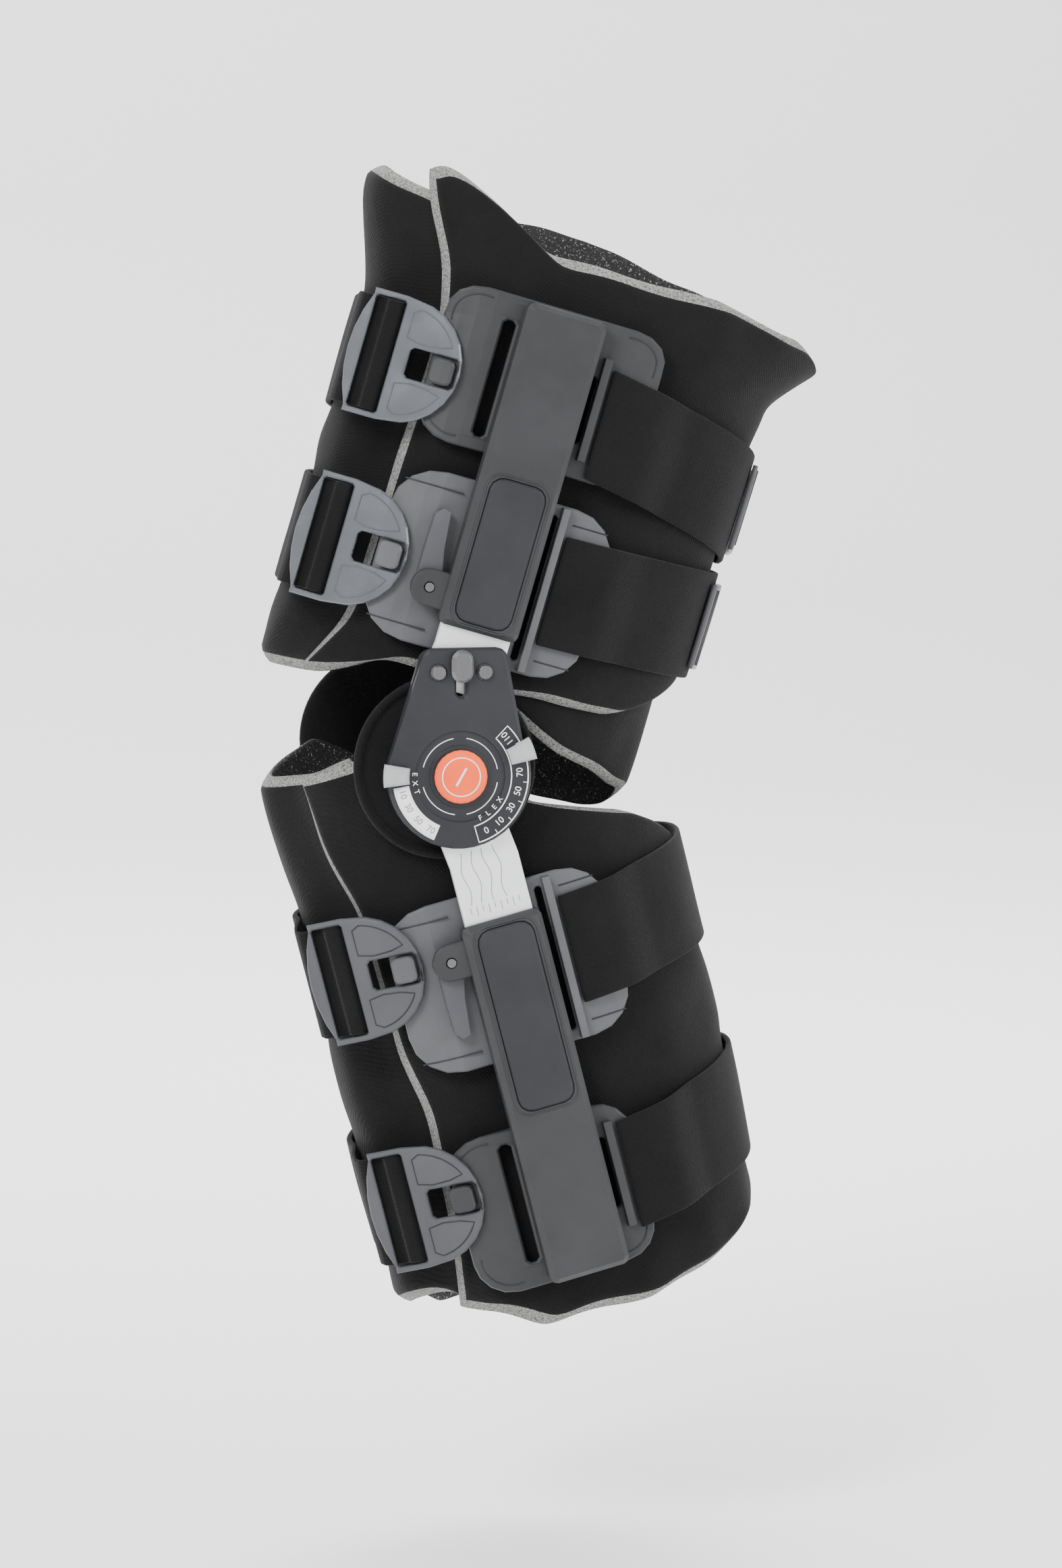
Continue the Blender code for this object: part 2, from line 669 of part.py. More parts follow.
def main():
    clear_scene()
    make_foam()
    for name in STRAPS:
        make_strap(name)
        spec = CLEAR_PLASTIC if name.startswith("thigh") else GREY_PLASTIC
        make_buckle(name.replace("strap", "buckle"), name, spec)
    back = lengths("thigh")[1]
    make_end_tab("thigh_strap_upper_end", "thigh_strap_upper", back - 18)
    make_end_tab("thigh_strap_lower_end", "thigh_strap_lower", back - 26)
    for prefix, side in (("lateral", -1), ("medial", 1)):
        make_bars(side, prefix)
        make_hinge(side, prefix)
        for limb in LIMBS:
            make_housing(limb, side, prefix)
            make_strap_plate(limb, side, prefix)
            make_release(limb, side, prefix)


main()
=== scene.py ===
"""Looks of the hinged knee brace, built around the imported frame. Lengths here are millimetres, times MM."""

import json
import math

import bmesh
import bpy
import numpy as np
from mathutils import Matrix, Vector, noise


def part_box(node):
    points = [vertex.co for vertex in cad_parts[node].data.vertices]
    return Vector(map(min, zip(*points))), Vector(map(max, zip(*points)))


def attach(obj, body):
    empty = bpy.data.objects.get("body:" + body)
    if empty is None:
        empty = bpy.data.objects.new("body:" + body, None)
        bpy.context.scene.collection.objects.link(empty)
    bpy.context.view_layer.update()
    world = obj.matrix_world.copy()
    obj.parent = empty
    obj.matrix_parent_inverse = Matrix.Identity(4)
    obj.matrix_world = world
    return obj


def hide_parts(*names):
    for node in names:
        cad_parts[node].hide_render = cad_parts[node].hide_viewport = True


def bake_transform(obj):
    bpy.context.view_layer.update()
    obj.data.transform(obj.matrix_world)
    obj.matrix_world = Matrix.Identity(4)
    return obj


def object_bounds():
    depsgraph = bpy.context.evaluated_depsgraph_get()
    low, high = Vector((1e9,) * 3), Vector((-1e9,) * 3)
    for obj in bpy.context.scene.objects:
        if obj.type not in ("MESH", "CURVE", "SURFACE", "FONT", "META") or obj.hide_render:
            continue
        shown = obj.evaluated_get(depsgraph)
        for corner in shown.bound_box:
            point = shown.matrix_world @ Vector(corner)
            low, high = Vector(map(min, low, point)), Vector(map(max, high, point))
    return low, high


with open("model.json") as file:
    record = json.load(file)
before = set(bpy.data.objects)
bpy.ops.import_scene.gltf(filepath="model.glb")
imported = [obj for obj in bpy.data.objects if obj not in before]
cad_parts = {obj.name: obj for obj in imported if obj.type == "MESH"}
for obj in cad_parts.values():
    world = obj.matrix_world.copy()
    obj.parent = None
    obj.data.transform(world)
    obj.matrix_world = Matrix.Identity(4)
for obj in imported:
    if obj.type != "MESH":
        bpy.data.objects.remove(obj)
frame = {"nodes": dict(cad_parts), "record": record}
cad_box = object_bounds()

MM = 0.001
SIDES = (("lateral", -1), ("medial", 1))

# The leg's half sections and the limbs' directions, as in the CAD.
SIDE = 62.0
FLAT_FRONT = 18.0
FRONT_DEPTH = 54.0
LIMBS = {
    "thigh": {
        "start": (7.9, 60.6),
        "lean": math.radians(16.5),
        "up": 1,
        "flat_back": 28.0,
        "back_depth": 80.0,
        "flare_at": (-60, 0, 128, 148, 170),
        "front_flare": (1.0, 1.0, 1.0, 1.1, 1.22),
        "back_flare": (0.98, 1.0, 1.03, 1.25, 1.32),
    },
    "calf": {
        "start": (17.9, -61.2),
        "lean": math.radians(14.5),
        "up": -1,
        "flat_back": 24.0,
        "back_depth": 72.0,
        "flare_at": (-80, 0, 110, 170),
        "front_flare": (1.0, 1.0, 1.04, 1.0),
        "back_flare": (1.0, 1.0, 0.98, 0.92),
    },
}
STRAP_LAYER = (0.4, 2.9)
STRAP_OVER = 7.2
STRAP_HALF = 24.0
STRAPS = {
    "thigh_strap_upper": ("thigh", (104.0, 80.0, 92.0, 102.0)),
    "thigh_strap_lower": ("thigh", (25.0, 29.0, 27.0, 21.5)),
    "calf_strap_upper": ("calf", (24.0, 18.5, 18.0, 12.0)),
    "calf_strap_lower": ("calf", (127.0, 115.0, 115.0, 115.0)),
}
STUD_ACROSS = -40.0
BUCKLE_BASE = 7.4
BUCKLE_THICK = 3.0
WINGS = {"thigh": (-46.5, 47.0, 74.0, 142.0), "calf": (-44.0, 34.0, 91.0, 161.0)}
PANEL_END = {"thigh": 66.0, "calf": 84.0}
PAD_CENTRE = (-4.0, 3.0)

# Faces that carry marks: heights over the foam for the plates, distances from the middle for the hinge.
PLATE_FACE = 6.4
WING_FACE = 6.9
BAR_FACE = SIDE + 12.5
SPINE_FACE = SIDE + 17.0
COVER_FACE = SIDE + 18.0
CAP_FACE = SIDE + 20.55
GROOVE_DEPTH = 0.62
GROOVE_RADIUS = 16.4
CAP_RING = 8.2

# Soft pieces: their layers, the slant of a cut edge, the wraps' overlap and the step down under it,
# and how far the thigh wrap's rim rises on the inner side and at the lip of its outer end.
FOAM_LAYER = (-6.9, -0.7)
FLAP_LAYER = (-12.8, -8.0)
FLAP_TOP = 38.0
CUT_SLANT = 5.5
END_SLANT = 1.7
OVERLAP = 34.0
UNDER_STEP = 7.0
FAR_RISE = 13.0
LIP_RISE = 16.0
END_TAB = (24.0, 19.0)

# Stage. The brace stands clear of the floor, so that its telescoping uprights have room to come out.
FLOOR_ROOM = 0.1
VIEW_TURN = math.radians(-12)
VIEW_RISE = math.radians(6)
VIEW_DISTANCE = 2.8
VIEW_HEIGHT = 0.665
VIEW_SHIFT = (0.0305, -0.0034)


# Materials


def blank(name, colour, roughness, metallic=0.0):
    """A material with its Principled shader, and the shader's tree."""
    made = bpy.data.materials.new(name)
    made.use_nodes = True
    shader = made.node_tree.nodes["Principled BSDF"]
    shader.inputs["Base Color"].default_value = (*colour, 1.0)
    shader.inputs["Roughness"].default_value = roughness
    shader.inputs["Metallic"].default_value = metallic
    return made, made.node_tree, shader


def texture(tree, kind, scale, **settings):
    """A texture node in object space, with its scale in features per metre."""
    place = tree.nodes.new("ShaderNodeTexCoord")
    node = tree.nodes.new(f"ShaderNodeTex{kind}")
    tree.links.new(place.outputs["Object"], node.inputs["Vector"])
    node.inputs["Scale"].default_value = scale
    for key, value in settings.items():
        node.inputs[key].default_value = value
    return node


def ramp(tree, source, stops):
    """A colour ramp with its stops as (position, colour or grey)."""
    node = tree.nodes.new("ShaderNodeValToRGB")
    elements = node.color_ramp.elements
    while len(elements) < len(stops):
        elements.new(0.5)
    for element, (position, value) in zip(elements, stops):
        element.position = position
        element.color = (*value, 1.0) if hasattr(value, "__len__") else (value, value, value, 1.0)
    tree.links.new(source, node.inputs["Fac"])
    return node.outputs["Color"]


def feed(tree, shader, socket, source, stops):
    """Drives one of the shader's sockets with a texture, through a ramp."""
    tree.links.new(ramp(tree, source.outputs["Fac"], stops), shader.inputs[socket])


def tones(colour, *factors):
    """The colour at each of these brightnesses."""
    return [[channel * factor for channel in colour] for factor in factors]


def bump(tree, shader, height, strength, distance, under=None):
    """A bump map over another one, if there is one, with its depth in millimetres."""
    node = tree.nodes.new("ShaderNodeBump")
    node.inputs["Strength"].default_value = strength
    node.inputs["Distance"].default_value = distance * MM
    tree.links.new(height, node.inputs["Height"])
    if under:
        tree.links.new(under, node.inputs["Normal"])
    tree.links.new(node.outputs["Normal"], shader.inputs["Normal"])
    return node.outputs["Normal"]


def rounded_edges(tree, radius):
    """Normals that look rounded over the edges."""
    node = tree.nodes.new("ShaderNodeBevel")
    node.samples = 4
    node.inputs["Radius"].default_value = radius * MM
    return node.outputs["Normal"]


def plastic(name, colour, roughness, grain=0.12, edge=0.7):
    """Moulded plastic: fine grain, faint flow marks in its colour and uneven gloss."""
    made, tree, shader = blank(name, colour, roughness)
    flow = texture(tree, "Noise", 28.0, Detail=5.0, Roughness=0.6)
    darker, lighter = tones(colour, 0.86, 1.16)
    feed(tree, shader, "Base Color", flow, ((0.3, darker), (0.7, lighter)))
    smear = texture(tree, "Noise", 120.0, Detail=4.0)
    feed(tree, shader, "Roughness", smear, ((0.3, roughness - 0.05), (0.7, roughness + 0.08)))
    fine = texture(tree, "Noise", 2600.0, Detail=2.0)
    bump(tree, shader, fine.outputs["Fac"], grain, 0.05, rounded_edges(tree, edge))
    shader.inputs["Specular IOR Level"].default_value = 0.24
    return made


def translucent(name, colour, roughness, share):
    """Cloudy plastic that lets through a share of the light."""
    made, tree, shader = blank(name, colour, roughness)
    cloud = texture(tree, "Noise", 60.0, Detail=4.0)
    feed(tree, shader, "Roughness", cloud, ((0.3, roughness - 0.05), (0.7, roughness + 0.1)))
    darker, lighter = tones(colour, 0.9, 1.1)
    feed(tree, shader, "Base Color", cloud, ((0.2, darker), (0.8, lighter)))
    fine = texture(tree, "Noise", 1800.0)
    bump(tree, shader, fine.outputs["Fac"], 0.06, 0.04, rounded_edges(tree, 0.6))
    shader.inputs["Transmission Weight"].default_value = share
    shader.inputs["IOR"].default_value = 1.45
    shader.inputs["Coat Weight"].default_value = 0.3
    shader.inputs["Coat Roughness"].default_value = 0.2
    return made


def metal(name, colour, roughness, metallic):
    """Brushed metal: fine scratches along the part and a faint change of tone."""
    made, tree, shader = blank(name, colour, roughness, metallic)
    place = tree.nodes.new("ShaderNodeTexCoord")
    stretch = tree.nodes.new("ShaderNodeMapping")
    stretch.inputs["Scale"].default_value = (1.0, 1.0, 0.05)
    scratch = tree.nodes.new("ShaderNodeTexNoise")
    scratch.inputs["Scale"].default_value = 2400.0
    tree.links.new(place.outputs["Object"], stretch.inputs["Vector"])
    tree.links.new(stretch.outputs["Vector"], scratch.inputs["Vector"])
    tone = texture(tree, "Noise", 40.0, Detail=4.0)
    feed(tree, shader, "Base Color", tone, ((0.3, tones(colour, 0.93)[0]), (0.7, colour)))
    feed(tree, shader, "Roughness", scratch, ((0.3, roughness - 0.06), (0.7, roughness + 0.08)))
    bump(tree, shader, scratch.outputs["Fac"], 0.08, 0.03, rounded_edges(tree, 0.4))
    return made


def loop_fabric(name, colour, rib, sheen):
    """Brushed loop fabric: small loops, a faint twill and soft colour changes."""
    made, tree, shader = blank(name, colour, 0.95)
    cloud = texture(tree, "Noise", 22.0, Detail=6.0, Roughness=0.65)
    darker, lighter = tones(colour, 0.62, 1.5)
    feed(tree, shader, "Base Color", cloud, ((0.3, darker), (0.72, lighter)))
    loops = texture(tree, "Voronoi", 1500.0)
    under = bump(tree, shader, loops.outputs["Distance"], 0.55, 0.35)
    twill = texture(tree, "Wave", rib, Distortion=1.2, Detail=2.0)
    twill.bands_direction = "DIAGONAL"
    bump(tree, shader, twill.outputs["Fac"], 0.35, 0.35, under)
    shader.inputs["Sheen Weight"].default_value = sheen
    shader.inputs["Sheen Roughness"].default_value = 0.45
    shader.inputs["Specular IOR Level"].default_value = 0.2
    return made


def foam(name):
    """Cut edge of the foam: pale grey with dark and light cells."""
    made, tree, shader = blank(name, (0.3, 0.3, 0.29), 0.95)
    cells = texture(tree, "Noise", 1100.0, Detail=3.0, Roughness=0.8)
    stops = ((0.36, (0.03, 0.03, 0.03)), (0.48, (0.17, 0.17, 0.165)), (0.7, (0.34, 0.34, 0.33)))
    feed(tree, shader, "Base Color", cells, stops)
    bump(tree, shader, cells.outputs["Fac"], 0.8, 0.6)
    return made


def lining(name):
    """Inner lining: black, with small bright glints painted into its colour, where the lining is also
    glossier.
    """
    made, tree, shader = blank(name, (0.012, 0.012, 0.013), 0.6)
    cells = texture(tree, "Noise", 1050.0, Detail=3.0, Roughness=0.75)
    # painted glints: the brightest spots of the noise turn near-white in the base colour, standing in for
    # light caught by the fibres
    stops = ((0.58, (0.007, 0.007, 0.008)), (0.63, (0.04, 0.04, 0.042)), (0.675, (0.6, 0.6, 0.62)))
    feed(tree, shader, "Base Color", cells, stops)
    feed(tree, shader, "Roughness", cells, ((0.5, 0.8), (0.64, 0.25)))
    bump(tree, shader, cells.outputs["Fac"], 0.9, 0.7)
    return made


def ink(name, colour, roughness=0.55):
    """Printed or engraved marks, slightly uneven like pad print."""
    made, tree, shader = blank(name, colour, roughness)
    speck = texture(tree, "Noise", 900.0, Detail=3.0)
    feed(tree, shader, "Base Color", speck, ((0.25, tones(colour, 0.8)[0]), (0.5, colour)))
    bump(tree, shader, speck.outputs["Fac"], 0.1, 0.05)
    return made


MATERIALS = {
    "dark_plastic": plastic("moulded_dark", (0.021, 0.022, 0.025), 0.4),
    "housing_plastic": plastic("moulded_housing", (0.029, 0.03, 0.032), 0.38, 0.16),
    "plate_plastic": plastic("moulded_plate", (0.075, 0.077, 0.082), 0.34),
    "clear_plastic": translucent("buckle_smoke", (0.16, 0.175, 0.2), 0.22, 0.6),
    "grey_plastic": plastic("buckle_grey", (0.062, 0.064, 0.071), 0.36),
    "stop_plastic": translucent("stop_frost", (0.55, 0.56, 0.57), 0.25, 0.45),
    "cap_plastic": plastic("cap_orange", (0.92, 0.1, 0.022), 0.32, 0.05, 0.4),
    "bar_metal": metal("bar_anodised", (0.8, 0.81, 0.82), 0.36, 0.35),
    "rivet_metal": metal("rivet_plated", (0.16, 0.16, 0.165), 0.3, 0.85),
}
OUTER = loop_fabric("wrap_loop_fabric", (0.004, 0.004, 0.0044), 330.0, 0.05)
STRAP_CLOTH = loop_fabric("strap_loop_cloth", (0.0036, 0.0036, 0.004), 520.0, 0.05)
PAD_CLOTH = loop_fabric("pad_knit", (0.004, 0.004, 0.0045), 700.0, 0.05)
FOAM_EDGE = foam("foam_cut_edge")
LINING = lining("sparkle_lining")
PRINT = ink("dial_print", (0.82, 0.82, 0.82))
ENGRAVED = ink("engraved_line", (0.2, 0.2, 0.21))
THREAD = ink("sewing_thread", (0.03, 0.03, 0.032), 0.8)


def dress_frame():
    """Gives each CAD node that stays its own finish."""
    slots = {part["node"]: part["material_slot"] for part in frame["record"]["subparts"]}
    for node, obj in frame["nodes"].items():
        if slots[node] not in MATERIALS:
            continue
        obj.data.materials.clear()
        obj.data.materials.append(MATERIALS[slots[node]])
        obj.data.shade_smooth()
        obj.data.set_sharp_from_angle(angle=math.radians(28))


# Places on the leg


def half_section(limb):
    """Arc lengths along the half section, and its rows of across, side distance and outward direction."""
    turn = np.linspace(0, math.pi / 2, 61)
    data = LIMBS[limb]
    front = [(-FLAT_FRONT, -FRONT_DEPTH, angle) for angle in turn[::-1]]
    back = [(data["flat_back"], data["back_depth"], angle) for angle in turn]
    rows = []
    for flat, depth, angle in front + back:
        outward = np.array([math.sin(angle) / depth, math.cos(angle) / SIDE])
        outward /= np.linalg.norm(outward)
        rows.append((flat + depth * math.sin(angle), SIDE * math.cos(angle), *outward))
    rows = np.array(rows)
    steps = np.linalg.norm(np.diff(rows[:, :2], axis=0), axis=1)
    length = np.concatenate([[0], np.cumsum(steps)])
    return length - np.interp(0, rows[:, 0], length), rows


SECTIONS = {limb: half_section(limb) for limb in LIMBS}


def lengths(limb):
    """Arc length from the upright to the very front and to the very back."""
    length = SECTIONS[limb][0]
    return -length[0], length[-1]


def section_point(limb, around):
    """(across, y, outward across, outward y) at an arc length from the outer upright."""
    front, back = lengths(limb)
    around %= 2 * (front + back)
    inner = back < around < 2 * back + front
    if inner:
        around = 2 * back - around
    elif around > back:
        around -= 2 * (front + back)
    length, rows = SECTIONS[limb]
    across, side, out_across, out_side = (np.interp(around, length, rows[:, i]) for i in range(4))
    sign = 1 if inner else -1
    return across, sign * side, out_across, sign * out_side


def limb_world(limb, across, y, along):
    """World place, in metres, of a point given in a limb's own directions."""
    data = LIMBS[limb]
    lean, up = data["lean"], data["up"]
    x = data["start"][0] + along * math.sin(lean) + across * math.cos(lean)
    z = data["start"][1] + up * (along * math.cos(lean) - across * math.sin(lean))
    return Vector((x, y, z)) * MM


def on_leg(limb, around, along, height):
    """World place of a point at an arc length round the limb and a height over the foam."""
    across, y, out_across, out_y = section_point(limb, around)
    data = LIMBS[limb]
    if across < -FLAT_FRONT:
        flare = np.interp(along, data["flare_at"], data["front_flare"])
        across = -FLAT_FRONT + flare * (across + FLAT_FRONT)
    elif across > data["flat_back"]:
        flare = np.interp(along, data["flare_at"], data["back_flare"])
        across = data["flat_back"] + flare * (across - data["flat_back"])
    return limb_world(limb, across + out_across * height, y + out_y * height, along)


def smooth(value, low, high):
    """0 below low, 1 above high, and a soft step between."""
    share = min(max((value - low) / (high - low), 0.0), 1.0)
    return share * share * (3 - 2 * share)


def strap_level(limb, levels, around):
    """How far along the limb the middle of a strap lies."""
    front, back = lengths(limb)
    marks = (0, back, 2 * back, 2 * back + front)
    return np.interp(around % (2 * (front + back)), marks, levels)


def off_plates(limb, around, low, high):
    """The distances from each upright, as soft steps: 0 on its plates, 1 clear of them."""
    front, back = lengths(limb)
    whole = 2 * (front + back)
    return [smooth(abs(around - upright), low, high) for upright in (0, 2 * back, whole)]


# Soft pieces


def mesh_piece(name, verts, faces, materials, body=None, levels=0):
    """A smooth mesh from points in metres. Each face is (corners, material number)."""
    mesh = bpy.data.meshes.new(name)
    mesh.from_pydata([tuple(v) for v in verts], [], [corners for corners, _ in faces])
    for made in materials:
        mesh.materials.append(made)
    mesh.polygons.foreach_set("material_index", [number for _, number in faces])
    shape = bmesh.new()
    shape.from_mesh(mesh)
    bmesh.ops.recalc_face_normals(shape, faces=shape.faces)
    for face in shape.faces:
        face.smooth = True
    shape.to_mesh(mesh)
    shape.free()
    obj = bpy.data.objects.new(name, mesh)
    bpy.context.scene.collection.objects.link(obj)
    if levels:
        modifier = obj.modifiers.new("subdivision", "SUBSURF")
        modifier.levels = modifier.render_levels = levels
    if body:
        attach(obj, body)
    return obj


def tube_sides(rings, count):
    """The side faces of a loft through rings of count points each."""
    faces = []
    for r in range(rings - 1):
        for i in range(count):
            j = (i + 1) % count
            faces.append(((r * count + i, r * count + j, (r + 1) * count + j, (r + 1) * count + i), 0))
    return faces


def shell(name, place, rows, columns, closed, body=None):
    """A padded sheet. place(row, column, face) gives a point, with face 1 outside and 0 inside."""
    verts = []
    for face in (1, 0):
        verts += [place(r, c, face) for r in rows for c in columns]
    tall, wide = len(rows), len(columns)
    inner = tall * wide
    faces = []
    last = tall if closed else tall - 1
    for r in range(last):
        n = (r + 1) % tall
        for c in range(wide - 1):
            quad = (r * wide + c, n * wide + c, n * wide + c + 1, r * wide + c + 1)
            faces.append((quad, 0))
            faces.append((tuple(i + inner for i in quad[::-1]), 2))
        for c in (0, wide - 1):
            faces.append(((r * wide + c, n * wide + c, inner + n * wide + c, inner + r * wide + c), 1))
    if not closed:
        for r in (0, tall - 1):
            for c in range(wide - 1):
                at = r * wide + c
                faces.append(((at, at + 1, inner + at + 1, inner + at), 1))
    return mesh_piece(name, verts, faces, [OUTER, FOAM_EDGE, LINING], body, levels=1)


def puff(limb, around, along):
    """How far the foam stands proud: nothing under a strap or a plate, a soft bulge between them."""
    clear = 1.0
    for owner, levels in STRAPS.values():
        if owner == limb:
            clear = min(clear, smooth(abs(along - strap_level(limb, levels, around)), 23, 40))
    for share in off_plates(limb, around % (2 * sum(lengths(limb))), 46, 66):
        clear *= share
    return clear


def wrap(name, limb, start_edge, low_edge, high_edge, seed):
    """A foam wrap that closes over itself at the front: its outer end is the cut edge at start_edge.

    The cut edges slant, so that the cloth outside ends before the lining and the foam shows between.
    """
    whole = 2 * sum(lengths(limb))
    rows = [0, 0.004] + list(np.linspace(0.012, 0.988, 118)) + [0.996, 1]
    columns = [0, 0.012] + list(np.linspace(0.04, 0.96, 26)) + [0.988, 1]

    def place(row, column, face):
        guess = start_edge[0][1] + row * (whole + OVERLAP)
        across, side = section_point(limb, guess)[:2]
        low, high = (np.interp(across, *zip(*edge)) for edge in (low_edge, high_edge))
        wave = noise.noise(Vector((guess * 0.022, seed, 0)))
        behind = smooth(across, 5, 55)
        low += wave * (5.0 if limb == "thigh" else 3.0) * (1 - behind) + 3.0 * behind
        high += 4.0 * noise.noise(Vector((guess * 0.03, seed + 5, 0)))
        if limb == "thigh":
            high += FAR_RISE * smooth(side, -SIDE, SIDE)
            high += LIP_RISE * (1 - smooth(row, 0.015, 0.1)) - 4 * (1 - smooth(row, 0, 0.012))
        slant = CUT_SLANT * face
        along = low + slant + (high - low - 2 * slant) * column
        start = np.interp(along, *zip(*start_edge))
        around = start + END_SLANT * slant + row * (whole + OVERLAP - (1 + END_SLANT) * slant)
        under = smooth(around - start, whole - OVERLAP, whole - 6)
        height = FOAM_LAYER[face] - UNDER_STEP * under
        ripple = noise.noise(Vector((around * 0.03, along * 0.025, seed))) - 0.25
        clear_of_knee = 1 - behind * (1 - smooth(along - low, 8, 40))
        height += (2.2 + 2.4 * ripple) * puff(limb, around, along) * (1 - under) * clear_of_knee
        rim = smooth(column, 0.93, 1.0) * 1.5 * noise.noise(Vector((around * 0.05, seed, 2)))
        return on_leg(limb, around, along, height + rim)

    obj = shell(name, place, rows, columns, False, limb)
    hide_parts(name.replace("_sleeve", "_wrap"))


def knee_flap():
    """The soft lower end of the thigh wrap, which folds behind the knee."""
    low_edge = ((-72, -18), (0, -20), (30, -31), (60, -42), (108, -52))
    rows = np.linspace(0, 2 * sum(lengths("thigh")), 101)[:-1]
    columns = [0, 0.02] + list(np.linspace(0.07, 0.93, 14)) + [0.98, 1]

    def place(row, column, face):
        across, side = section_point("thigh", row)[:2]
        low = np.interp(across, *zip(*low_edge)) + 3 * noise.noise(Vector((row * 0.03, 3, 1)))
        low -= 22 * smooth(side, -20, SIDE) * smooth(across, 0, 45)
        low += CUT_SLANT * face
        along = low + (FLAP_TOP - low) * column
        free = 1 - smooth(column, 0.3, 0.8)
        ripple = 1.6 * noise.noise(Vector((row * 0.035, along * 0.03, 7))) * free
        return on_leg("thigh", row, along, FLAP_LAYER[face] + ripple)

    obj = shell("thigh_popliteal_flap", place, rows, columns, True)
    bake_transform(obj)
    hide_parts("thigh_knee_flap")


def buckle_frame(name):
    """Point under the buckle's stud, direction to the front and outward direction, across and in y."""
    limb = STRAPS[name][0]
    across, y, out_across, out_y = section_point(limb, STUD_ACROSS)
    base = Vector((across + out_across * BUCKLE_BASE, y + out_y * BUCKLE_BASE))
    return base, Vector((out_y, -out_across)), Vector((out_across, out_y))


# Points round a strap's section, as (share of its half width, 1 on the outer face and 0 on the inner).
RING = [(s, 1) for s in (-1, -0.95, -0.8, -0.4, 0, 0.4, 0.8, 0.95, 1)]
RING += [(s, 0) for s in (1, 0.95, 0.8, 0.4, 0, -0.4, -0.8, -0.95, -1)]


def strap(name, seed):
    """A strap from its rear bar, round the back and the inner side, to its buckle's slot."""
    limb, levels = STRAPS[name]
    front, back = lengths(limb)
    whole = 2 * (front + back)
    thick = STRAP_LAYER[1] - STRAP_LAYER[0]
    rings = []
    for around in np.linspace(27, whole - front + 4, 130):
        over = STRAP_LAYER[0] + (STRAP_OVER - STRAP_LAYER[0]) * (1 - smooth(around, 46, 70))
        middle = strap_level(limb, levels, around)
        free = min(off_plates(limb, around, 52, 72))
        ring = []
        for side, face in RING:
            along = middle + side * STRAP_HALF
            ripple = 0.45 * noise.noise(Vector((around * 0.05, along * 0.04, seed))) + 0.25
            ring.append(on_leg(limb, around, along, over + thick * face + ripple * free))
        rings.append(ring)
    base, forward, outward = buckle_frame(name)
    lip = BUCKLE_THICK + 0.3
    ends = (
        (47, -4.2, -1.7),
        (40, -3.2, -0.7),
        (33.5, -3.2, -0.7),
        (31.8, -3.2, 0.4),
        (31.2, -3.2, 1.9),
        (30.2, -3.2, lip - 0.4),
        (28.8, -3.2, lip),
        (27.0, -3.2, lip),
        (25.5, -3.1, lip - 0.4),
        (24.6, -3.0, 1.9),
        (24.0, -2.4, 0.4),
    )
    for reach, low, high in ends:
        ring = []
        for side, face in RING:
            spot = base + forward * reach + outward * (high if face else low)
            ring.append(limb_world(limb, spot.x, spot.y, levels[-1] + side * STRAP_HALF))
        rings.append(ring)
    count = len(RING)
    verts = [point for ring in rings for point in ring]
    faces = tube_sides(len(rings), count)
    for r in (0, len(rings) - 1):
        for i in range(count // 2 - 1):
            at, back_at = r * count + i, r * count + count - 1 - i
            faces.append(((at, at + 1, back_at - 1, back_at), 0))
    obj = mesh_piece(f"{name}_webbing", verts, faces, [STRAP_CLOTH], limb, levels=1)
    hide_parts(name)


def end_tab(name, strap_name, start):
    """The stiff sewn end of a strap, with its stitches."""
    limb, levels = STRAPS[strap_name]
    length, half = END_TAB
    under = STRAP_LAYER[1] + 1.0
    ring = ((-1, 2.0), (-0.9, 2.2), (0, 2.3), (0.9, 2.2), (1, 2.0), (1, 0), (0, 0), (-1, 0))
    rows = np.linspace(start, start + length, 14)
    verts = []
    for around in rows:
        middle = strap_level(limb, levels, around)
        verts += [on_leg(limb, around, middle + s * half, under + h) for s, h in ring]
    count = len(ring)
    faces = tube_sides(len(rows), count)
    faces += [(tuple(range(count)), 0), (tuple(range((len(rows) - 1) * count, len(rows) * count)), 0)]
    obj = mesh_piece(f"{name}_patch", verts, faces, [MATERIALS["plate_plastic"]], limb)
    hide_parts(name)
    for k, edge in enumerate((3.0, 6.0)):
        path = [
            on_leg(limb, start + edge, strap_level(limb, levels, start) + s, under + 2.3)
            for s in np.linspace(-17, 17, 9)
        ]
        line(f"{name}_stitch_{k}", path, 0.35, THREAD, limb)


def line(name, points, radius, made, body, cyclic=False):
    """A thin round line through points in metres."""
    curve = bpy.data.curves.new(name, "CURVE")
    curve.dimensions = "3D"
    curve.bevel_depth = radius * MM
    curve.bevel_resolution = 1
    curve.use_fill_caps = True
    spline = curve.splines.new("POLY")
    spline.points.add(len(points) - 1)
    for point, place in zip(spline.points, points):
        point.co = (*place, 1)
    spline.use_cyclic_u = cyclic
    curve.materials.append(made)
    obj = bpy.data.objects.new(name, curve)
    bpy.context.scene.collection.objects.link(obj)
    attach(obj, body)


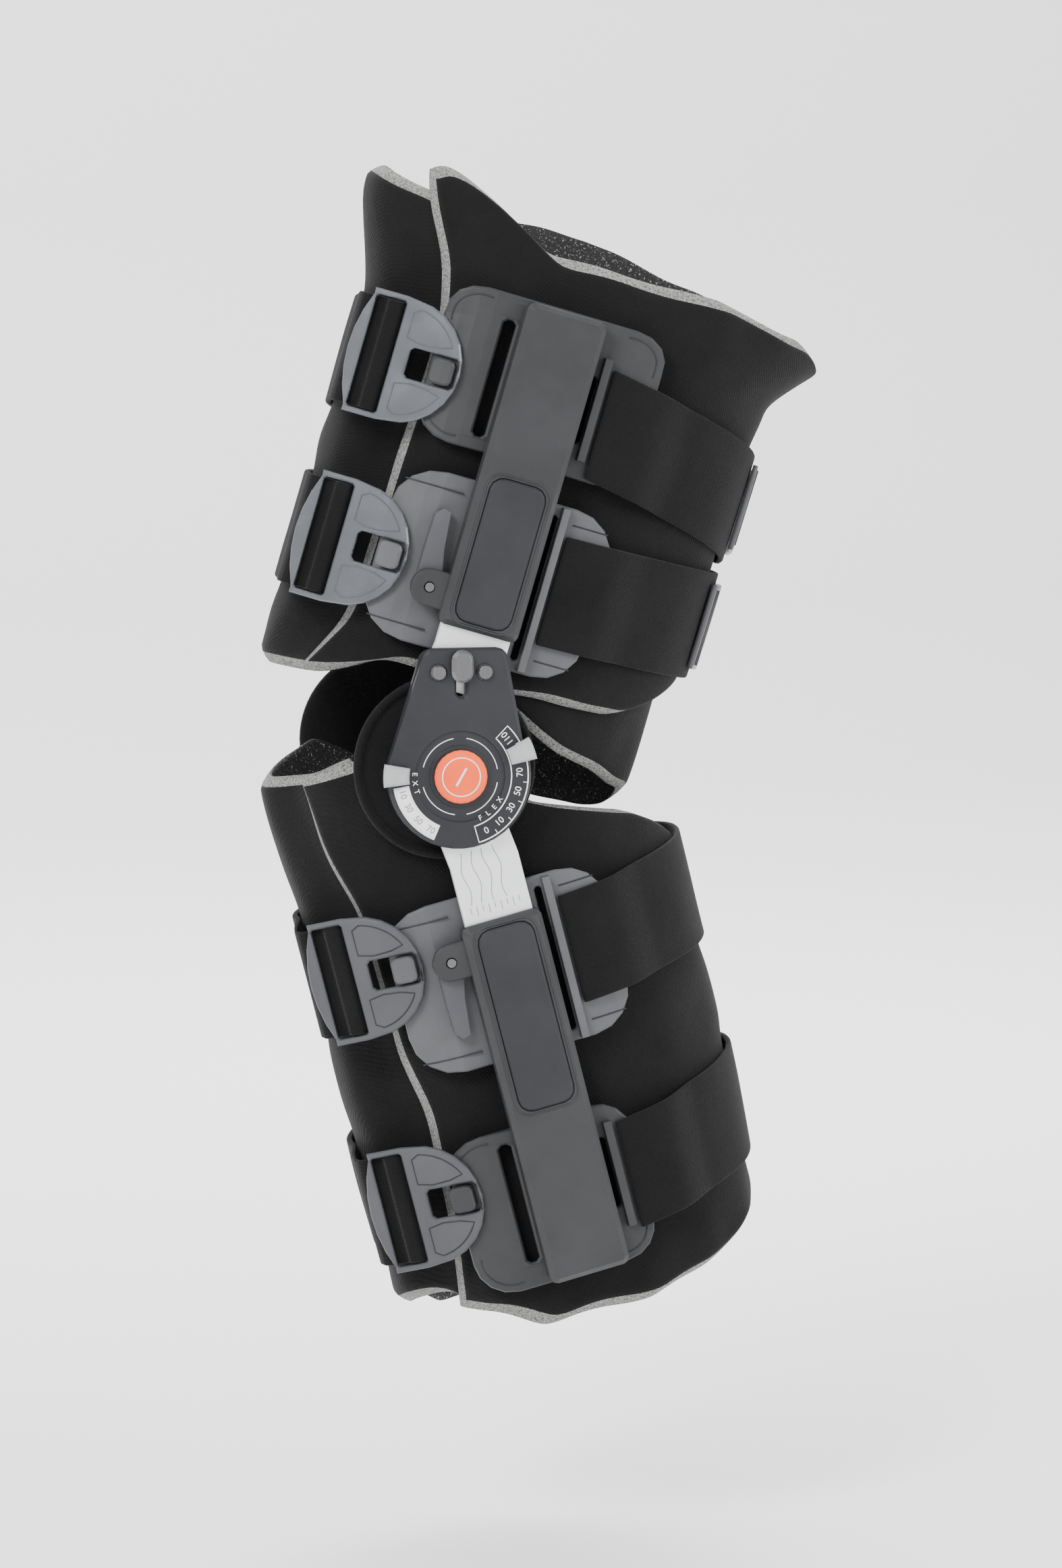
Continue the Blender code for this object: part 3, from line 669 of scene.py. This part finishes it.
def condyle_pad(prefix, side):
    """The round pad behind a hinge: crowned cloth with a piped rim."""
    face = ((0, 5.4), (12, 5.3), (26, 5.0), (33, 4.5), (35.2, 3.6))
    piping = ((36.0, 4.6), (37.4, 5.6), (38.8, 5.2), (39.5, 3.8), (39.2, 2.2))
    profile = face + piping + ((37.6, 1.0), (34, 0.5), (20, 0.4), (0, 0.4))
    turns = 72
    verts = []
    for radius, height in profile:
        for k in range(turns):
            angle = 2 * math.pi * k / turns
            pucker = 0.12 * math.sin(18 * angle) if 30 < radius < 36 else 0
            x = PAD_CENTRE[0] + radius * math.cos(angle)
            z = PAD_CENTRE[1] + radius * math.sin(angle)
            verts.append(Vector((x, side * (SIDE + height + pucker), z)) * MM)
    faces = tube_sides(len(profile), turns)
    obj = mesh_piece(f"{prefix}_condyle_cushion", verts, faces, [PAD_CLOTH], "thigh_bars")
    shape = bmesh.new()
    shape.from_mesh(obj.data)
    bmesh.ops.remove_doubles(shape, verts=shape.verts, dist=1e-6)
    bmesh.ops.recalc_face_normals(shape, faces=shape.faces)
    shape.to_mesh(obj.data)
    shape.free()
    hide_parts(f"{prefix}_condyle_pad")


# Marks


def on_dial(side, radius, angle, lift=0.1):
    """World place of a point just over the dial's face."""
    turn = math.radians(angle)
    return Vector((radius * math.cos(turn), side * (COVER_FACE + lift), radius * math.sin(turn))) * MM


def dial_band(name, side, inner, outer, start, end, made):
    """A flat printed arc on the dial."""
    angles = np.linspace(start, end, 25)
    verts = []
    for lift in (0.06, 0.16):
        for radius in (inner, outer):
            verts += [on_dial(side, radius, a, lift) for a in angles]
    count = len(angles)
    faces = []
    for k in range(count - 1):
        low_in, low_out, top_in, top_out = (b * count + k for b in range(4))
        faces.append(((top_in, top_in + 1, top_out + 1, top_out), 0))
        faces.append(((low_in, low_out, low_out + 1, low_in + 1), 0))
        faces.append(((low_in, low_in + 1, top_in + 1, top_in), 0))
        faces.append(((low_out, top_out, top_out + 1, low_out + 1), 0))
    for k in (0, count - 1):
        faces.append(((k, count + k, 3 * count + k, 2 * count + k), 0))
    mesh_piece(name, verts, faces, [made], "thigh_bars")


def dial_number(name, side, text, radius, angle, made, size=4.0):
    """Raised text on the dial, with its foot outwards."""
    curve = bpy.data.curves.new(name, "FONT")
    curve.body = text
    curve.size = size * MM
    curve.extrude = 0.05 * MM
    curve.align_x = "CENTER"
    curve.align_y = "CENTER"
    curve.materials.append(made)
    obj = bpy.data.objects.new(name, curve)
    spot = on_dial(side, radius, angle, 0.22)
    outward = Vector((math.cos(math.radians(angle)), 0, math.sin(math.radians(angle))))
    face = Vector((0, side, 0))
    up = -outward
    right = up.cross(face)
    obj.matrix_world = Matrix.Translation(spot) @ Matrix((right, up, face)).transposed().to_4x4()
    bpy.context.scene.collection.objects.link(obj)
    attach(obj, "thigh_bars")


def dial_marks(prefix, side):
    """Generic range scales: extension on a filled white arc, flexion on an outlined one.

    Radii are in millimetres from the hinge axis, and angles in degrees from the front.
    """
    dial_band(f"{prefix}_extension_arc", side, 22.4, 29.2, 189, 247, PRINT)
    for k, (text, angle) in enumerate((("10", 196), ("30", 210), ("50", 225), ("70", 240))):
        dial_number(f"{prefix}_extension_{k}", side, text, 25.8, angle, ENGRAVED)
    flexion = (("110", 38), ("70", 3), ("50", -15), ("30", -32), ("10", -49), ("0", -64))
    for k, (text, angle) in enumerate(flexion):
        dial_number(f"{prefix}_flexion_{k}", side, text, 25.8, angle, PRINT)
    for word, start, step in (("EXT", 176, 11), ("FLEX", 296, 11)):
        for k, letter in enumerate(word if side < 0 else word[::-1]):
            dial_number(f"{prefix}_{word}_{k}", side, letter, 19.8, start + step * k, PRINT, 3.2)
    outline = [on_dial(side, 29.4, a, 0.1) for a in np.linspace(-74, 46, 40)]
    outline += [on_dial(side, 22.2, a, 0.1) for a in np.linspace(46, -74, 40)]
    line(f"{prefix}_flexion_outline", outline, 0.28, PRINT, "thigh_bars", True)
    for k, (start, end) in enumerate(((100, 165), (195, 262), (280, 350), (10, 80))):
        arc = [on_dial(side, GROOVE_RADIUS, a, -GROOVE_DEPTH) for a in np.linspace(start, end, 24)]
        line(f"{prefix}_dial_ring_{k}", arc, 0.22, PRINT, "thigh_bars")
    for k, angle in enumerate((29, 12, -6, -23.5, -40.5, -56.5)):
        tick = [on_dial(side, r, angle, 0.1) for r in (27.4, 29.4)]
        line(f"{prefix}_flexion_tick_{k}", tick, 0.2, PRINT, "thigh_bars")
    ring = [
        Vector((CAP_RING * math.cos(a), side * CAP_FACE, CAP_RING * math.sin(a))) * MM
        for a in np.linspace(0, 2 * math.pi, 49)[:-1]
    ]
    line(f"{prefix}_cap_ring", ring, 0.3, PRINT, "thigh_bars", True)
    slot = [Vector((r * 0.5, side * CAP_FACE, r * 0.86)) * MM for r in (-4.4, 4.4)]
    line(f"{prefix}_cap_slot", slot, 0.55, PRINT, "thigh_bars")


def bar_marks(prefix, side):
    """Engraved waves and a ruler on the lower bar."""
    face = side * (BAR_FACE + 0.02)
    for k in range(4):
        path = [
            limb_world("calf", -10 + 5.2 * k + 0.9 * math.sin(0.35 * t + k), face, t)
            for t in np.linspace(-31, -8, 18)
        ]
        line(f"{prefix}_bar_wave_{k}", path, 0.16, ENGRAVED, "calf_bars")
    for k in range(9):
        length = 4.0 if k % 2 else 2.4
        path = [limb_world("calf", -11 + 2.7 * k, face, -7 + s) for s in (0, length)]
        line(f"{prefix}_bar_tick_{k}", path, 0.15, ENGRAVED, "calf_bars")


def leg_line(name, side, limb, points, height):
    """A dark line on a plate that follows the leg, from its (across, along) points: painted shade for the
    wing steps and score grooves.
    """
    path = []
    for across, along in points:
        spot = on_leg(limb, across, along, height)
        spot.y *= -side
        path.append(spot)
    line(name, path, 0.35, MATERIALS["dark_plastic"], limb)


def wing_marks(prefix, side):
    """Stepped corners on the housings' wings, drawn as dark lines of painted shade, and a rim round each
    press panel.
    """
    for limb, (left, right, low, high) in WINGS.items():
        corners = ((left + 15, high - 15, 90), (left + 15, low + 15, 180), (right - 15, high - 15, 0))
        for k, (x, y, start) in enumerate(corners):
            turns = [math.radians(a) for a in np.linspace(start - 12, start + 102, 14)]
            points = [(x + 11.5 * math.cos(a), y + 11.5 * math.sin(a)) for a in turns]
            # painted shade: a dark line stands in for the shade along the wing's stepped corner
            leg_line(f"{prefix}_{limb}_corner_{k}", side, limb, points, WING_FACE)
        end = PANEL_END[limb]
        rim = []
        for x, y, start in ((7.6, end - 5, 0), (-7.6, end - 5, 90), (-7.6, 8.4, 180), (7.6, 8.4, 270)):
            for a in np.linspace(start, start + 90, 7):
                turn = math.radians(a)
                across, along = x + 6.6 * math.cos(turn), y + 6.6 * math.sin(turn)
                rim.append(limb_world(limb, across, side * SPINE_FACE, along))
        line(f"{prefix}_{limb}_panel_rim", rim, 0.45, MATERIALS["housing_plastic"], limb, True)


def buckle_marks(name, made):
    """The outlines of the two sunk fields beside a buckle's notch, drawn as thin lines of painted shade along
    their rims.
    """
    base, forward, outward = buckle_frame(name)
    limb, levels = STRAPS[name]
    body = name.replace("strap", "buckle")
    for k, flip in enumerate((1, -1)):
        turns = [math.radians(a) for a in np.linspace(98, 152, 12)]
        outline = [(18.5 + 23 * math.cos(a), 23 * math.sin(a)) for a in turns]
        outline += [(4, 9.2), (12, 8.6), (18.6, 10), (18.6, 21)]
        path = []
        for x, y in outline:
            spot = base + forward * x + outward * BUCKLE_THICK
            path.append(limb_world(limb, spot.x, spot.y, levels[-1] + flip * y))
        # painted shade: a thin line along the sunk field's rim
        line(f"{body}_field_{k}", path, 0.3, made, body, True)


def plate_scores(prefix, side):
    """Score lines across the plates, beside the spine, drawn as dark lines of painted shade."""
    for limb in LIMBS:
        for k, along in enumerate((-5, 55)):
            for wing, (low, high) in enumerate(((-43, -20), (29, 44))):
                points = [(s, along) for s in np.linspace(low, high, 9)]
                # painted shade: dark lines stand in for the shade in the score grooves
                leg_line(f"{prefix}_{limb}_score_{k}_{wing}", side, limb, points, PLATE_FACE)


# Stage


def area_light(name, place, target, size, power):
    data = bpy.data.lights.new(name, "AREA")
    data.size = size
    data.energy = power
    lamp = bpy.data.objects.new(name, data)
    lamp.location = place
    lamp.rotation_euler = (Vector(target) - Vector(place)).to_track_quat("-Z", "Y").to_euler()
    bpy.context.scene.collection.objects.link(lamp)


def stage():
    """A white sweep behind the brace and soft lights from the front, from above and behind it."""
    floor_level = cad_box[0][2] - FLOOR_ROOM
    mesh = bpy.data.meshes.new("studio_floor")
    sweep = [(-9.0, 0), (3.0, 0), (3.8, 0.1), (4.4, 0.5), (4.7, 1.3), (4.8, 5.0)]
    verts = [(x, y, floor_level + z) for y, z in sweep for x in (-9, 9)]
    faces = [(2 * k, 2 * k + 1, 2 * k + 3, 2 * k + 2) for k in range(len(sweep) - 1)]
    mesh.from_pydata(verts, [], faces)
    floor = bpy.data.objects.new("studio_floor", mesh)
    bpy.context.scene.collection.objects.link(floor)
    paper, tree, shader = blank("studio_paper", (0.9, 0.9, 0.9), 0.9)
    grain = texture(tree, "Noise", 40.0)
    bump(tree, shader, grain.outputs["Fac"], 0.02, 0.1)
    mesh.materials.append(paper)
    mesh.shade_smooth()
    world = bpy.data.worlds.new("studio_world")
    bpy.context.scene.world = world
    world.use_nodes = True
    sky = world.node_tree.nodes["Background"]
    sky.inputs["Color"].default_value = (1, 1, 1, 1)
    sky.inputs["Strength"].default_value = 1.25
    area_light("key_light", (-1.3, -1.5, 1.4), (0, 0, 0), 0.8, 60)
    area_light("fill_light", (1.6, -1.2, 0.5), (0, 0, 0), 1.0, 26)
    area_light("rim_light", (0.6, 1.3, 1.5), (0, 0, 0), 0.9, 36)
    area_light("backdrop_light", (0, 1.6, 2.6), (0, 4.2, 0.2), 2.5, 160)


def camera():
    """The photo's view: from the outer side, a little to the front and above."""
    away = Vector((
        math.sin(VIEW_TURN) * math.cos(VIEW_RISE),
        -math.cos(VIEW_TURN) * math.cos(VIEW_RISE),
        math.sin(VIEW_RISE),
    ))
    right = Vector((math.cos(VIEW_TURN), math.sin(VIEW_TURN), 0))
    up = away.cross(right)
    dial = (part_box("lateral_hinge_cover")[0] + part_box("lateral_hinge_cover")[1]) / 2
    hinge = Vector((0, dial.y, 0))
    target = hinge + right * VIEW_SHIFT[0] + up * VIEW_SHIFT[1]
    data = bpy.data.cameras.new("photo_camera")
    data.sensor_fit = "VERTICAL"
    data.sensor_height = 36
    data.lens = data.sensor_height * VIEW_DISTANCE / VIEW_HEIGHT
    made = bpy.data.objects.new("photo_camera", data)
    made.location = target + away * VIEW_DISTANCE
    made.rotation_euler = away.to_track_quat("Z", "Y").to_euler()
    bpy.context.scene.collection.objects.link(made)
    bpy.context.scene.camera = made


dress_frame()
wrap(
    "thigh_sleeve", "thigh", seed=1.0,
    start_edge=((-40, -82), (-9, -60), (67, -57), (110, -55), (147, -58), (185, -72)),
    low_edge=((-72, -40), (-46, -23), (0, -25), (60, -24), (108, 4)),
    high_edge=((-72, 174), (-30, 164), (40, 166), (80, 158), (108, 146)),
)
wrap(
    "calf_sleeve", "calf", seed=4.0,
    start_edge=((-80, -82), (-42, -76), (-14, -66), (49, -62), (78, -55), (120, -57), (178, -66)),
    low_edge=((-72, -75), (-43, -80), (-10, -60), (24, -43), (60, -30), (96, -6)),
    high_edge=((-72, 164), (-40, 182), (10, 184), (60, 174), (96, 156)),
)
knee_flap()
for number, strap_name in enumerate(STRAPS):
    strap(strap_name, number + 0.5)
thigh_back = lengths("thigh")[1]
end_tab("thigh_strap_upper_end", "thigh_strap_upper", thigh_back - 18)
end_tab("thigh_strap_lower_end", "thigh_strap_lower", thigh_back - 26)
for side_name, sign in SIDES:
    condyle_pad(side_name, sign)
    dial_marks(side_name, sign)
    bar_marks(side_name, sign)
    wing_marks(side_name, sign)
    plate_scores(side_name, sign)
for strap_name in STRAPS:
    # the painted-shade outlines are lighter on the thigh buckles and darker on the calf buckles
    tone = "plate_plastic" if strap_name.startswith("thigh") else "dark_plastic"
    buckle_marks(strap_name, MATERIALS[tone])
stage()
camera()
